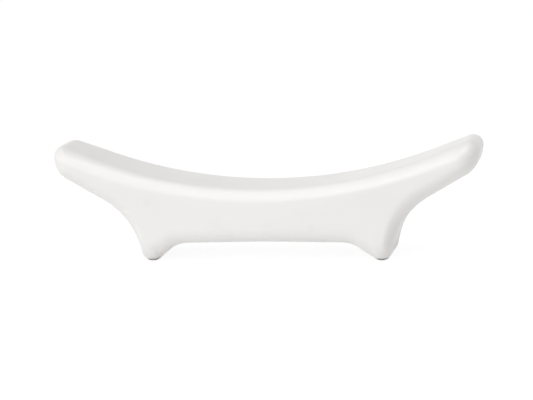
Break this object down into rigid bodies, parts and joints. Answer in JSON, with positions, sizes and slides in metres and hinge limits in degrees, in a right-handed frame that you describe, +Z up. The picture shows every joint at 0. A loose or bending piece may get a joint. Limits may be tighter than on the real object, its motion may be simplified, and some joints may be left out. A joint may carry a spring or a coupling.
{
  "type": "chopstick rest",
  "caption": "Glazed porcelain bar with a sagging saddle top, raised tips and short feet, for keeping the tips of chopsticks off the table.",
  "frame": {"origin": "on the table, under the middle of the saddle", "axes": "+X along the bar towards its right tip, +Y from the front face to the back face, +Z up"},
  "size_m": [0.08, 0.015, 0.0217],
  "materials": {
    "porcelain": "matte",
    "glaze": "gloss"
  },
  "bodies": {
    "root": {"porcelain_body": "porcelain", "glaze_coat": "glaze"}
  },
  "joints": []
}
